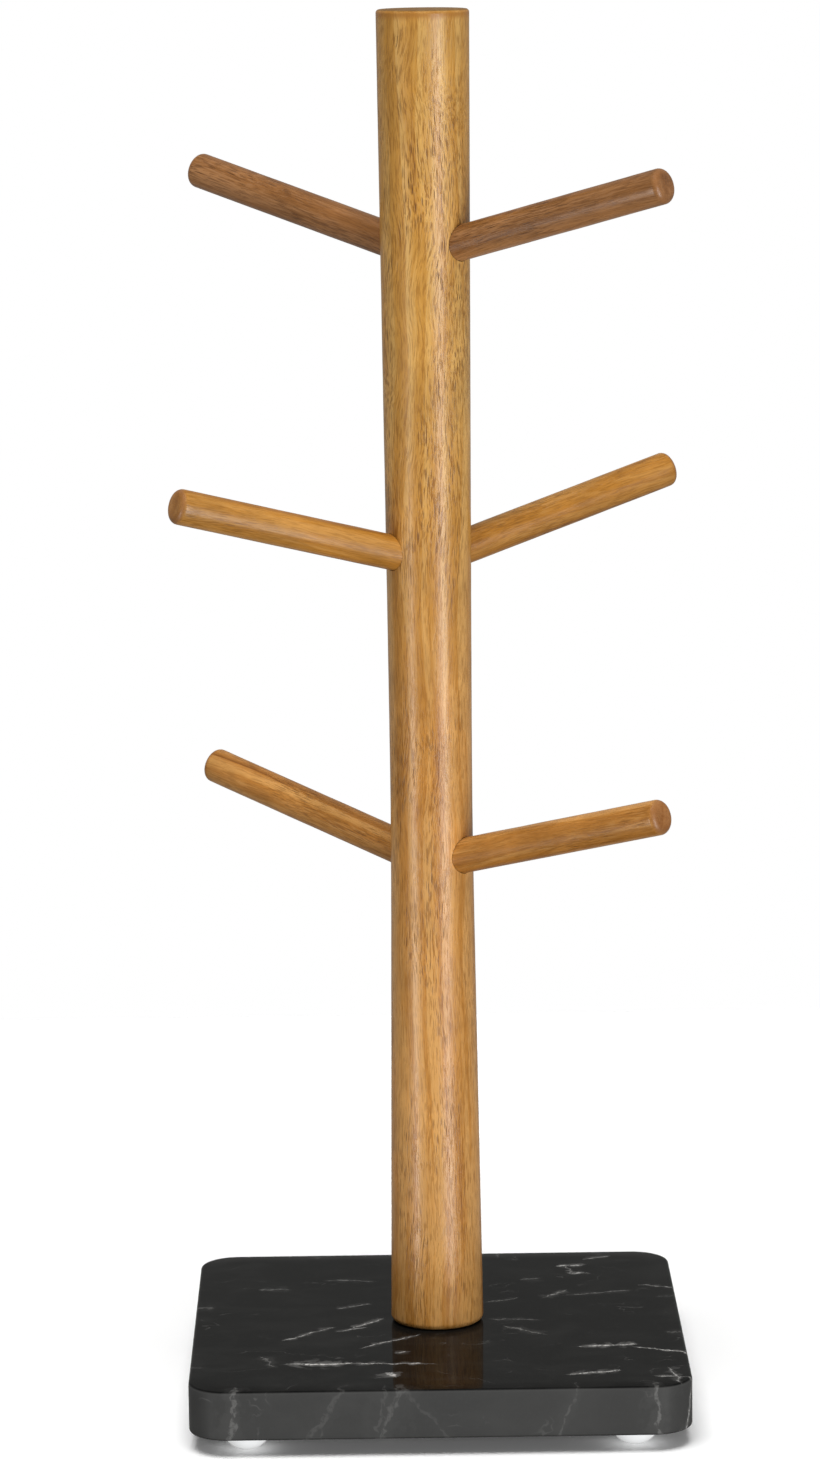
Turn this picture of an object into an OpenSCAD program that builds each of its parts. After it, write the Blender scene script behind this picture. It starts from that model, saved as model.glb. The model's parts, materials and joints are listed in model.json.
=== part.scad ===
// Mug tree: a turned wooden post with six pegs, bolted to a square slab of black marble.
// Millimetres, +Z up. The origin is on the table, under the middle of the slab; the front is -Y.

/* [Slab] */
// Width of the slab, side to side
slab_w = 140; // [112:1:200]
// Depth of the slab, front to back
slab_d = 140; // [112:1:200]
// Thickness of the slab
slab_t = 14; // [11:0.5:26]
// Radius of the four upright corners
slab_corner_r = 11; // [4:0.5:20]
// Radius of the eased edges round the top and the underside
slab_edge_r = 0.9; // [0.4:0.1:3]

/* [Feet] */
// Diameter of a clear foot where it sticks to the slab
foot_d = 14; // [8:0.5:20]
// Height of a foot
foot_h = 5; // [3:0.5:9]
// Diameter of the flat that a foot stands on
foot_flat_d = 5; // [2:0.5:6]
// From the slab's sides to the middle of a foot
foot_inset_x = 16; // [11:0.5:30]
// From the slab's front and back to the middle of a foot
foot_inset_y = 11; // [11:0.5:30]

/* [Post] */
// Height of the post above the slab
post_h = 375; // [310:1:460]
// Diameter at the foot of the post
post_foot_d = 26.6; // [22:0.1:34]
// Diameter at the waist, the slimmest place
post_waist_d = 23.3; // [19:0.1:30]
// Diameter at the top of the post
post_top_d = 26; // [21:0.1:34]
// Height of the waist above the slab
waist_z = 152; // [110:1:240]
// How softly the two tapers meet at the waist, as a share of their length
waist_soft = 0.12; // [0.05:0.01:0.5]
// Rounding of the top edge
post_top_round = 1; // [0.4:0.1:3]
// Rounding of the edge that meets the slab
post_foot_round = 2; // [0.4:0.1:3]

/* [Pegs] */
// Diameter of a peg
peg_d = 10; // [8:0.1:13]
// Length of a peg, inner end to free end
peg_len = 71.5; // [50:0.5:90]
// How far a peg rises from level, in degrees
peg_rise = 15; // [5:1:30]
// Rounding of a peg's free end
peg_round = 2; // [0.4:0.1:3]
// Height of the low pair above the slab, on the post's axis
low_level = 134.5; // [100:0.5:180]
// Step up from one pair to the next
level_step = 86.5; // [60:0.5:110]
// Turn of the low pair about the post, in degrees
low_turn = -36; // [-90:1:90]
// Turn of the middle pair
middle_turn = 27; // [-90:1:90]
// Turn of the top pair
top_turn = -35; // [-90:1:90]
// Least depth of the socket that a peg's inner end sits in
socket_depth = 1.2; // [0.6:0.1:2]
// Clearance round a peg in its socket
socket_fit = 0.1; // [0.05:0.05:0.3]

/* [Peg studs and inserts] */
// Thread diameter of a stud
stud_d = 4; // [3:0.1:5]
// Length of a stud's wood thread, inside the peg
stud_wood_len = 18; // [12:0.5:26]
// Pitch of the wood thread
stud_wood_pitch = 1.8; // [1.2:0.1:2.4]
// Pitch of the metal thread
stud_metal_pitch = 0.7; // [0.5:0.1:1]
// Wall of a brass insert round its thread
insert_wall = 1.5; // [1.2:0.1:2]
// Wood left between the post's axis and the inner end of an insert
insert_core = 2.4; // [2:0.1:3]
// Clearance of every thread in its hole
thread_fit = 0.05; // [0.05:0.05:0.2]
// Room left past the end of a stud, an insert or a bolt
end_gap = 0.5; // [0.2:0.1:1]

/* [Base bolt] */
// Thread diameter of the bolt
bolt_d = 6; // [5:0.1:8]
// Pitch of its thread
bolt_pitch = 1; // [0.8:0.1:1.5]
// Length of bolt that stands in the post's insert
bolt_grip = 12; // [8:0.5:20]
// Diameter of the button head
bolt_head_d = 10.5; // [10:0.1:14]
// Height of the button head
bolt_head_h = 3.3; // [2.6:0.1:4.5]
// Width across flats of the key socket in the head
bolt_key = 3.9; // [3:0.1:5]
// Clearance round the bolt in the slab and the washers
bolt_hole_fit = 0.5; // [0.2:0.1:1]
// Wall of the foot insert round the bolt
foot_insert_wall = 2; // [1.5:0.1:3]
// Diameter of the steel washer
washer_d = 18; // [15:0.5:22]
// Thickness of the steel washer
washer_t = 1.4; // [1:0.1:2]
// Diameter of the rubber washer between steel and stone
cushion_d = 20; // [16:0.5:24]
// Thickness of the rubber washer
cushion_t = 1.5; // [1:0.1:3]
// Clearance round the rubber washer in its pocket
pocket_fit = 2; // [0.5:0.5:4]
// How far the bolt head stays inside the slab
head_sink = 0.6; // [0.2:0.1:2]

/* [Hidden] */
LEVEL_NAMES = ["low", "middle", "top"];
SIDE_NAMES = ["right", "left"];
END_NAMES = ["front", "rear"];
function peg_parts(kind) = [for (l = LEVEL_NAMES, s = SIDE_NAMES) str(kind, "_", l, "_", s)];
FOOT_NODES = [for (e = END_NAMES, s = SIDE_NAMES) str("foot_", e, "_", s)];

$fn = 64;
bands = 22;             // tapered bands up the side of the post
arc_steps = 5;          // steps in each rounded edge of the post
ridge = 0.35;           // depth of every thread and knurl
stone = "#242529";
post_wood = "#b98547";
peg_wood = "#a0683a";
steel = "#b9bcc0";
brass = "#c9a24a";
rubber = "#1b1b1d";
clear = [0.86, 0.9, 0.92, 0.6];

// Heights, from the table up
slab_under_z = foot_h;
slab_top_z = foot_h + slab_t;
pocket_depth = cushion_t + washer_t + bolt_head_h + head_sink;
pocket_roof_z = slab_under_z + pocket_depth;
washer_z = pocket_roof_z - cushion_t - washer_t;

// The foot is a ball cut off at its two faces; this is the ball's middle above the slab's underside
foot_ball_z = (pow(foot_d / 2, 2) - pow(foot_flat_d / 2, 2) - pow(foot_h, 2)) / (2 * foot_h);
foot_ball_r = sqrt(pow(foot_d / 2, 2) + pow(foot_ball_z, 2));

// Radius of the post at height z above the slab: two tapers that blend at the waist
function soft_v(u) = (sqrt(u * u + pow(waist_soft, 2)) - waist_soft)
    / (sqrt(1 + pow(waist_soft, 2)) - waist_soft);
function end_r(z) = (z < waist_z ? post_foot_d : post_top_d) / 2;
function end_run(z) = z < waist_z ? waist_z : post_h - waist_z;
function post_r(z) = post_waist_d / 2
    + (end_r(z) - post_waist_d / 2) * soft_v(abs(z - waist_z) / end_run(z));

// Pegs: level heights, turns, and the socket floor's distance from the post's axis
turns = [low_turn, middle_turn, top_turn];
socket_r = peg_d / 2 + socket_fit;
function level_z(i) = low_level + i * level_step;
function seat(i) = sqrt(pow(post_r(level_z(i)), 2) - pow(socket_r, 2)) / cos(peg_rise) - socket_depth;
insert_d = stud_d + 2 * insert_wall;
insert_len = min([for (i = [0:2]) seat(i)]) - insert_core;
insert_key = stud_d + insert_wall / 2;
stud_metal_len = insert_len - end_gap;

// The bolt passes the washers and the stone, and ends inside the post's foot insert
foot_insert_d = bolt_d + 2 * foot_insert_wall;
foot_insert_len = bolt_grip + end_gap;
bolt_len = slab_top_z - washer_z + bolt_grip;

// Outline points, [radius, height], of a zigzag thread that climbs from z0 in n turns
function zigzag(r, z0, pitch, n) = [for (k = [0:n - 1], p = [0, 1])
    [p == 0 ? r - ridge : r, z0 + (k + (p == 0 ? 0 : 0.5)) * pitch]];
function turns_in(len, pitch) = floor(len / pitch);

// ---- shapes used more than once ----

// Stands its children, drawn along +Z from the post's axis, where a peg runs
module along_peg(i, s) {
    translate([0, 0, slab_top_z + level_z(i)])
        rotate([0, 0, turns[i] + 180 * s]) rotate([0, 90 - peg_rise, 0]) children();
}

// Bar of length len and width w, its long edges eased, lying along Y and standing on z = 0
module eased_bar(w, len) {
    e = slab_edge_r;
    rotate([90, 0, 0]) translate([0, 0, -len / 2]) linear_extrude(len) union() {
        translate([-w / 2 + e, 0]) square([w - 2 * e, slab_t]);
        translate([-w / 2, e]) square([w, slab_t - 2 * e]);
        for (x = [-1, 1], y = [e, slab_t - e]) translate([x * (w / 2 - e), y]) circle(e);
    }
}

// Round puck with eased edges, one at each corner of the slab
module eased_puck() {
    e = slab_edge_r;
    rotate_extrude() union() {
        square([slab_corner_r - e, slab_t]);
        translate([0, e]) square([slab_corner_r, slab_t - 2 * e]);
        for (y = [e, slab_t - e]) translate([slab_corner_r - e, y]) circle(e);
    }
}

module ring(d, hole_d, t) {
    difference() {
        cylinder(d = d, h = t);
        translate([0, 0, -1]) cylinder(d = hole_d, h = t + 2);
    }
}

// Brass insert: threaded outside for the wood, tapped inside, with a key socket at its mouth.
// It runs down from z = 0.
module brass_insert(d, len, tap_d, key, pitch) {
    n = turns_in(len, pitch);
    difference() {
        rotate_extrude() polygon(concat(
            [[0, -len]], zigzag(d / 2, -len, pitch, n), [[d / 2 - ridge, 0], [0, 0]]));
        translate([0, 0, -len - 1]) cylinder(r = tap_d / 2 + thread_fit, h = len + 2);
        translate([0, 0, -key / 3]) cylinder(d = key / cos(30), h = key, $fn = 6);
    }
}

// ---- the pieces ----

module marble_slab() {
    color(stone) difference() {
        translate([0, 0, slab_under_z]) union() {
            eased_bar(slab_w, slab_d - 2 * slab_corner_r);
            rotate([0, 0, 90]) eased_bar(slab_d, slab_w - 2 * slab_corner_r);
            for (x = [-1, 1], y = [-1, 1])
                translate([x * (slab_w / 2 - slab_corner_r), y * (slab_d / 2 - slab_corner_r), 0])
                    eased_puck();
        }
        translate([0, 0, slab_under_z - 1])
            cylinder(d = cushion_d + 2 * pocket_fit, h = pocket_depth + 1);
        translate([0, 0, slab_under_z]) cylinder(r = bolt_d / 2 + bolt_hole_fit, h = slab_t + 1);
    }
}

module foot(e, s) {
    x = (s == 0 ? 1 : -1) * (slab_w / 2 - foot_inset_x);
    y = (e == 0 ? -1 : 1) * (slab_d / 2 - foot_inset_y);
    color(clear) translate([x, y, 0]) rotate_extrude() intersection() {
        translate([0, foot_h + foot_ball_z]) circle(foot_ball_r);
        square([foot_d, foot_h]);
    }
}

module post() {
    top_r = post_top_d / 2 - post_top_round;
    foot_r = post_foot_d / 2 - post_foot_round;
    side_h = post_h - post_foot_round - post_top_round;
    color(post_wood) difference() {
        translate([0, 0, slab_top_z]) rotate_extrude() polygon(concat(
            [[0, 0]],
            [for (k = [0:arc_steps - 1]) let (a = 90 * k / arc_steps)
                [foot_r + post_foot_round * sin(a), post_foot_round * (1 - cos(a))]],
            [for (k = [0:bands]) let (z = post_foot_round + side_h * k / bands) [post_r(z), z]],
            [for (k = [1:arc_steps]) let (a = 90 * k / arc_steps)
                [top_r + post_top_round * cos(a), post_h - post_top_round * (1 - sin(a))]],
            [[0, post_h]]));
        for (i = [0:2], s = [0, 1]) along_peg(i, s) {
            translate([0, 0, seat(i)]) cylinder(r = socket_r, h = post_top_d);
            translate([0, 0, seat(i) - insert_len - end_gap])
                cylinder(r = insert_d / 2 + thread_fit, h = post_top_d);
        }
        translate([0, 0, slab_top_z - 1])
            cylinder(r = foot_insert_d / 2 + thread_fit, h = foot_insert_len + 2 * end_gap + 1);
    }
}

// The foot insert is sunk by end_gap, so that the post beds on the stone and not on the brass
module foot_insert() {
    color(brass) translate([0, 0, slab_top_z + end_gap]) mirror([0, 0, 1])
        brass_insert(foot_insert_d, foot_insert_len, bolt_d, bolt_d + foot_insert_wall / 2, bolt_pitch * 2);
}

module base_bolt() {
    n = turns_in(bolt_grip, bolt_pitch);
    shank = bolt_len - n * bolt_pitch;
    color(steel) translate([0, 0, washer_z]) difference() {
        union() {
            rotate_extrude() polygon(concat(
                [[0, 0], [bolt_d / 2, 0], [bolt_d / 2, shank]],
                zigzag(bolt_d / 2, shank, bolt_pitch, n),
                [[bolt_d / 2 - ridge, bolt_len], [0, bolt_len]]));
            // button head: a flat ball cap under a thin rim
            rotate_extrude() intersection() {
                ball = (pow(bolt_head_d / 2, 2) + pow(bolt_head_h, 2)) / (2 * bolt_head_h);
                translate([0, -bolt_head_h + ball]) circle(ball);
                translate([0, -bolt_head_h]) square([bolt_head_d / 2, bolt_head_h]);
            }
        }
        translate([0, 0, -bolt_head_h - 1])
            cylinder(d = bolt_key / cos(30), h = 1 + bolt_head_h * 0.7, $fn = 6);
    }
}

module steel_washer() {
    color(steel) translate([0, 0, washer_z]) ring(washer_d, bolt_d + 2 * bolt_hole_fit, washer_t);
}

module rubber_washer() {
    color(rubber) translate([0, 0, washer_z + washer_t])
        ring(cushion_d, bolt_d + 2 * bolt_hole_fit, cushion_t);
}

module peg(i, s) {
    color(peg_wood) along_peg(i, s) translate([0, 0, seat(i)]) difference() {
        rotate_extrude() union() {
            square([peg_d / 2, peg_len - peg_round]);
            square([peg_d / 2 - peg_round, peg_len]);
            translate([peg_d / 2 - peg_round, peg_len - peg_round]) circle(peg_round);
        }
        translate([0, 0, -1]) cylinder(r = stud_d / 2 + thread_fit, h = stud_wood_len + end_gap + 1);
    }
}

// Hanger stud: metal thread into the post, a plain collar at the joint, wood thread into the peg
module stud(i, s) {
    metal_n = turns_in(stud_metal_len, stud_metal_pitch);
    wood_n = turns_in(stud_wood_len, stud_wood_pitch) - 1;
    wood_z = stud_wood_len - wood_n * stud_wood_pitch;
    color(steel) along_peg(i, s) translate([0, 0, seat(i)]) rotate_extrude() polygon(concat(
        [[0, -stud_metal_len]],
        zigzag(stud_d / 2, -stud_metal_len, stud_metal_pitch, metal_n),
        [[stud_d / 2, 0], [stud_d / 2, wood_z - stud_wood_pitch / 2]],
        zigzag(stud_d / 2, wood_z, stud_wood_pitch, wood_n),
        [[0, stud_wood_len]]));
}

module insert(i, s) {
    color(brass) along_peg(i, s) translate([0, 0, seat(i)])
        brass_insert(insert_d, insert_len, stud_d, insert_key, stud_wood_pitch);
}

marble_slab();
post();
foot_insert();
base_bolt();
steel_washer();
rubber_washer();
for (e = [0, 1], s = [0, 1])
    foot(e, s);
for (i = [0:2], s = [0, 1]) {
    peg(i, s);
    stud(i, s);
    insert(i, s);
}
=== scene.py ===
import json
import math
import random

import bmesh
import bpy
from mathutils import Matrix, Vector, noise


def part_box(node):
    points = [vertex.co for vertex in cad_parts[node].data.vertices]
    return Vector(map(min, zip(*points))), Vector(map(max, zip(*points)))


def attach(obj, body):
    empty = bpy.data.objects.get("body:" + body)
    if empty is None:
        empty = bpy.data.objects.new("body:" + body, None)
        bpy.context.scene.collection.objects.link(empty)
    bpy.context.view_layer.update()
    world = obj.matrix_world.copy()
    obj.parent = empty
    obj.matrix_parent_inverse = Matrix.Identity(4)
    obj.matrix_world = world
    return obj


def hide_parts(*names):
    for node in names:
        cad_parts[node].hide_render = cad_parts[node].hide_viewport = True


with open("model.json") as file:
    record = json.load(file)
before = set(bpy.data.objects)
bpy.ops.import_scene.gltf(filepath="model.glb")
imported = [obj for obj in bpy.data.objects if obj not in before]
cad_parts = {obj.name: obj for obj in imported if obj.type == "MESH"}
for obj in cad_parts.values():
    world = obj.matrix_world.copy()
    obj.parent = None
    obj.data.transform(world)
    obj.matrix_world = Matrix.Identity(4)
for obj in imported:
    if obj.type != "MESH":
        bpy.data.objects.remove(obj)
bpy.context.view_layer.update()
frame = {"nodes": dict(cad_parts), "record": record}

mm = 0.001
mounts = {m["name"]: m for m in frame["record"]["mounts"]}
scene = bpy.context.scene
print("frame loaded,", len(frame["nodes"]), "nodes")


# Small helpers for node trees. A value may be a number, a colour, a vector or another node's socket.

def feed(tree, socket, value):
    if isinstance(value, bpy.types.NodeSocket):
        tree.links.new(value, socket)
    elif value is not None:
        socket.default_value = value


def maths(tree, operation, *values, clamp=False):
    node = tree.nodes.new("ShaderNodeMath")
    node.operation = operation
    node.use_clamp = clamp
    for socket, value in zip(node.inputs, values):
        feed(tree, socket, value)
    return node.outputs[0]


def vectorMaths(tree, operation, *values, scale=None):
    node = tree.nodes.new("ShaderNodeVectorMath")
    node.operation = operation
    for socket, value in zip(node.inputs, values):
        feed(tree, socket, value)
    if scale is not None:
        feed(tree, node.inputs["Scale"], scale)
    numberOut = operation in ("DOT_PRODUCT", "LENGTH", "DISTANCE")
    return node.outputs["Value"] if numberOut else node.outputs["Vector"]


def splitVector(tree, vector):
    node = tree.nodes.new("ShaderNodeSeparateXYZ")
    feed(tree, node.inputs[0], vector)
    return node.outputs[0], node.outputs[1], node.outputs[2]


def joinVector(tree, x, y, z):
    node = tree.nodes.new("ShaderNodeCombineXYZ")
    for socket, value in zip(node.inputs, (x, y, z)):
        feed(tree, socket, value)
    return node.outputs[0]


def noiseField(tree, vector, stretch=(1, 1, 1), detail=2.0, roughness=0.5, distortion=0.0):
    node = tree.nodes.new("ShaderNodeTexNoise")
    feed(tree, node.inputs["Vector"], vectorMaths(tree, "MULTIPLY", vector, stretch))
    feed(tree, node.inputs["Scale"], 1.0)
    feed(tree, node.inputs["Detail"], detail)
    feed(tree, node.inputs["Roughness"], roughness)
    feed(tree, node.inputs["Distortion"], distortion)
    return node.outputs[0]


def cellField(tree, vector, stretch=(1, 1, 1)):
    node = tree.nodes.new("ShaderNodeTexVoronoi")
    node.feature = "F1"
    feed(tree, node.inputs["Vector"], vectorMaths(tree, "MULTIPLY", vector, stretch))
    feed(tree, node.inputs["Scale"], 1.0)
    feed(tree, node.inputs["Randomness"], 1.0)
    return node.outputs["Distance"], node.outputs["Color"]


def fade(tree, value, start, end, low=0.0, high=1.0):
    node = tree.nodes.new("ShaderNodeMapRange")
    node.interpolation_type = "SMOOTHSTEP"
    labels = ("Value", "From Min", "From Max", "To Min", "To Max")
    for label, part in zip(labels, (value, start, end, low, high)):
        feed(tree, node.inputs[label], part)
    return node.outputs["Result"]


def mixColor(tree, amount, first, second):
    node = tree.nodes.new("ShaderNodeMix")
    node.data_type = "RGBA"
    node.clamp_factor = True
    sockets = [s for s in node.inputs if s.enabled]
    for socket, value in zip(sockets, (amount, first, second)):
        if isinstance(value, tuple) and len(value) == 3:
            value = (*value, 1.0)
        feed(tree, socket, value)
    return next(s for s in node.outputs if s.enabled)


def newGroup(name, inputs, outputs):
    tree = bpy.data.node_groups.new(name, "ShaderNodeTree")
    kinds = {"number": "NodeSocketFloat", "color": "NodeSocketColor", "vector": "NodeSocketVector"}
    for label, kind, start in inputs:
        socket = tree.interface.new_socket(name=label, in_out="INPUT", socket_type=kinds[kind])
        socket.default_value = (*start, 1.0) if kind == "color" else start
    for label, kind in outputs:
        tree.interface.new_socket(name=label, in_out="OUTPUT", socket_type=kinds[kind])
    return tree, tree.nodes.new("NodeGroupInput").outputs, tree.nodes.new("NodeGroupOutput").inputs


def placeGroup(tree, group, values):
    node = tree.nodes.new("ShaderNodeGroup")
    node.node_tree = group
    for label, value in values.items():
        if isinstance(value, tuple) and node.inputs[label].type == "RGBA":
            value = (*value, 1.0)
        feed(tree, node.inputs[label], value)
    return node.outputs


def newMaterial(name, preview):
    material = bpy.data.materials.new(name)
    material.use_nodes = True
    material.diffuse_color = (*preview, 1.0)
    tree = material.node_tree
    shader = next(n for n in tree.nodes if n.type == "BSDF_PRINCIPLED")
    return material, tree, shader.inputs


def bumpNormal(tree, height, depth, strength=1.0):
    node = tree.nodes.new("ShaderNodeBump")
    feed(tree, node.inputs["Height"], height)
    node.inputs["Distance"].default_value = depth
    node.inputs["Strength"].default_value = strength
    return node.outputs[0]


def objectPoint(tree):
    # the point in the piece's own space in millimetres, and its normal
    node = tree.nodes.new("ShaderNodeTexCoord")
    return vectorMaths(tree, "SCALE", node.outputs["Object"], scale=1 / mm), node.outputs["Normal"]


# Shared effects

grainSettings = {
    "seedStep": (7.3, -4.1, 31.7),          # how far one seed lies from the next, in millimetres
    "slowStretchX": (0.03, 0.03, 0.011),    # noise stretches are features per millimetre
    "slowStretchY": (0.024, 0.03, 0.013),
    "slowSway": 8.0,                        # millimetres that the grain wanders sideways
    "leanStretch": (0.026, 0.026, 0.024),
    "leanSway": (15.0, -6.0),
    "calmLean": 0.1,                        # share of the lean that is left in calm grain
    "calmPores": 0.85,
    "pith": (38.0, 21.0, 0.0),              # where the tree's middle lies from the piece's axis
    "yearStretch": (0.07, 0.07, 0.01),
    "yearWander": 1.4,
    "lateWood": 2.2,                        # the higher, the narrower the dark end of a ring
    "ringDepth": 0.20,
    "bandStretch": (0.22, 0.22, 0.005),
    "calmBands": 1.8,
    "wildBands": 0.9,
    "lineStretch": (2.2, 2.2, 0.06),
    "lineDepth": 0.6,
    "toneLift": 0.27,
    "tonePivot": 0.40,                      # the tone that streaks leave alone, and where it then lies
    "toneMiddle": 0.45,
    "paleRange": (0.1, 0.5),
    "deepRange": (0.5, 1.0),
    "barStretch": (0.10, 0.10, 0.07),
    "barDepth": 0.6,
    # tints for calm and wild grain: the wood's reddish and olive tones, with the calm one darker as
    # painted shade on the lower post
    "calmToneAndShade": (1.07, 0.95, 0.72),
    "wildToneAndLight": (1.17, 1.17, 0.86),
    "driftStretch": (0.09, 0.09, 0.02),
    "driftRange": (0.40, 0.62),             # ranges are noise levels from nothing to full
    "hatchStretch": (3.3, 3.3, 0.22),
    "hatchRange": (0.49, 0.60),
    "hatchShare": (0.4, 0.55),              # shares are what a drift adds, and what is there without it
    "hatchDepth": 0.75,
    "fleckRange": (0.46, 0.33),
    "fleckShare": (0.7, 0.3),
    "fleckDepth": 0.5,
    "poreStretch": (2.0, 2.0, 0.17),
    "poreRange": (0.40, 0.2),
    "poreKeep": (0.30, 0.4),
    "poreDepth": 0.75,
    "poreDark": 0.5,
    "endRange": (0.55, 0.92),
    "dullLines": 0.3,                       # how much gloss each effect costs
    "dullPores": 0.5,
    "dullEnds": 0.8,
    "lineRelief": 0.35,                     # how far each stands up from the surface, or dips into it
    "poreRelief": -1.0,
    "hatchRelief": -0.5,
}


def makeWoodGroup(look):
    # Solid wood with its grain along Z, in millimetres. The grain is calm (straight and reddish) low down
    # and wild (interlocked and more olive) higher up, and the calm part's darker tint is also painted
    # shade on the lower wood.
    tree, given, result = newGroup("woodGrain", [
        ("Point", "vector", (0, 0, 0)), ("Normal", "vector", (0, 0, 1)), ("Seed", "number", 0.0),
        ("Pale", "color", (0.6, 0.4, 0.2)), ("Body", "color", (0.4, 0.25, 0.1)),
        ("Deep", "color", (0.2, 0.1, 0.04)), ("Ring Gap", "number", 5.0), ("Streaks", "number", 1.0),
        ("Pores", "number", 1.0), ("Figure", "number", 1.0), ("Interlock", "number", 1.0),
        ("End Shade", "number", 0.5), ("End Tint", "color", (0.34, 0.37, 0.42)),
        ("Calm Below", "number", -2.0), ("Wild Above", "number", -1.0)],
        [("Color", "color"), ("Gloss Loss", "number"), ("Height", "number")])
    seedShift = vectorMaths(tree, "SCALE", look["seedStep"], scale=given["Seed"])
    shifted = vectorMaths(tree, "ADD", given["Point"], seedShift)

    # the grain wanders one way and then the other as it climbs
    slowX = noiseField(tree, shifted, look["slowStretchX"], detail=2)
    slowX = maths(tree, "SUBTRACT", slowX, 0.5)
    slowY = noiseField(tree, shifted, look["slowStretchY"], detail=2, distortion=0.4)
    slowY = maths(tree, "SUBTRACT", slowY, 0.5)
    wander = joinVector(tree, maths(tree, "MULTIPLY", slowX, look["slowSway"]),
                        maths(tree, "MULTIPLY", slowY, look["slowSway"]), 0.0)
    grain = vectorMaths(tree, "ADD", shifted, wander)

    # the short fibres of wild grain lean further than the wide bands do, and run straight in calm grain
    _, _, climb = splitVector(tree, given["Point"])
    wild = fade(tree, climb, given["Calm Below"], given["Wild Above"])
    lean = maths(tree, "SUBTRACT", noiseField(tree, shifted, look["leanStretch"], detail=1), 0.5)
    wildLean = maths(tree, "MULTIPLY_ADD", wild, 1 - look["calmLean"], look["calmLean"])
    lean = maths(tree, "MULTIPLY", lean, maths(tree, "MULTIPLY", given["Interlock"], wildLean))
    wildPores = maths(tree, "MULTIPLY_ADD", wild, 1 - look["calmPores"], look["calmPores"])
    poreShare = maths(tree, "MULTIPLY", given["Pores"], wildPores)
    swayX, swayY = look["leanSway"]
    fibre = vectorMaths(tree, "ADD", grain, joinVector(
        tree, maths(tree, "MULTIPLY", lean, swayX), maths(tree, "MULTIPLY", lean, swayY), 0.0))

    # growth rings, darker towards the end of each year
    x, y, _ = splitVector(tree, vectorMaths(tree, "ADD", grain, look["pith"]))
    squares = maths(tree, "ADD", maths(tree, "MULTIPLY", x, x), maths(tree, "MULTIPLY", y, y))
    fromPith = maths(tree, "SQRT", squares)
    yearNoise = noiseField(tree, grain, look["yearStretch"], detail=3)
    year = maths(tree, "ADD", maths(tree, "DIVIDE", fromPith, given["Ring Gap"]),
                 maths(tree, "MULTIPLY", yearNoise, look["yearWander"]))
    ring = maths(tree, "POWER", maths(tree, "FRACT", year), look["lateWood"])

    # long bands and fine lines
    wide = noiseField(tree, grain, look["bandStretch"], detail=3, roughness=0.6)
    narrow = noiseField(tree, fibre, look["lineStretch"], detail=3, roughness=0.6)
    bandChange = look["wildBands"] - look["calmBands"]
    bandShare = maths(tree, "MULTIPLY_ADD", wild, bandChange, look["calmBands"])
    bands = maths(tree, "MULTIPLY", maths(tree, "SUBTRACT", wide, 0.5), bandShare)
    tone = maths(tree, "MULTIPLY_ADD", ring, look["ringDepth"], bands)
    tone = maths(tree, "ADD", tone, look["toneLift"])
    lines = maths(tree, "MULTIPLY", maths(tree, "SUBTRACT", narrow, 0.5), look["lineDepth"])
    tone = maths(tree, "ADD", tone, lines)
    tone = maths(tree, "SUBTRACT", tone, look["tonePivot"])
    tone = maths(tree, "MULTIPLY_ADD", tone, given["Streaks"], look["toneMiddle"], clamp=True)
    color = mixColor(tree, fade(tree, tone, *look["paleRange"]), given["Pale"], given["Body"])
    color = mixColor(tree, fade(tree, tone, *look["deepRange"]), color, given["Deep"])

    # figure: the light and dark bars that interlocked grain shows across its length
    bars = noiseField(tree, grain, look["barStretch"], detail=3, roughness=0.55)
    bars = maths(tree, "MULTIPLY", maths(tree, "SUBTRACT", bars, 0.5), given["Figure"])
    barShade = maths(tree, "MULTIPLY_ADD", bars, look["barDepth"], 1.0)
    color = vectorMaths(tree, "SCALE", color, scale=barShade)
    # the calm tint is darker than the wild one: partly the wood's own tone, partly painted shade on the
    # lower post
    heightToneAndShade = mixColor(tree, wild, look["calmToneAndShade"], look["wildToneAndLight"])
    color = vectorMaths(tree, "MULTIPLY", color, heightToneAndShade)

    # hatching: dense dark fibre lines with pale flecks between, thicker in some patches
    drift = noiseField(tree, grain, look["driftStretch"], detail=3)
    drift = fade(tree, drift, *look["driftRange"])
    hatch = noiseField(tree, fibre, look["hatchStretch"], detail=2, roughness=0.6)
    patches = maths(tree, "MULTIPLY_ADD", drift, *look["hatchShare"])
    hatchMask = maths(tree, "MULTIPLY", fade(tree, hatch, *look["hatchRange"]), patches)
    hatchMask = maths(tree, "MULTIPLY", hatchMask, poreShare)
    flecks = fade(tree, hatch, *look["fleckRange"])
    fleckPatches = maths(tree, "MULTIPLY_ADD", drift, *look["fleckShare"])
    flecks = maths(tree, "MULTIPLY", flecks, fleckPatches)
    color = mixColor(tree, maths(tree, "MULTIPLY", flecks, look["fleckDepth"]), color, given["Pale"])
    color = mixColor(tree, maths(tree, "MULTIPLY", hatchMask, look["hatchDepth"]), color, given["Deep"])

    # open pores: fewer and darker, in drifts
    poreDistance, poreColor = cellField(tree, fibre, look["poreStretch"])
    keep, _, _ = splitVector(tree, poreColor)
    poreCore = fade(tree, poreDistance, *look["poreRange"])
    poreMask = maths(tree, "MULTIPLY", poreCore, fade(tree, keep, *look["poreKeep"]))
    poreMask = maths(tree, "MULTIPLY", maths(tree, "MULTIPLY", poreMask, drift), poreShare)
    dark = vectorMaths(tree, "SCALE", given["Deep"], scale=look["poreDark"])
    color = mixColor(tree, maths(tree, "MULTIPLY", poreMask, look["poreDepth"]), color, dark)

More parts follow.
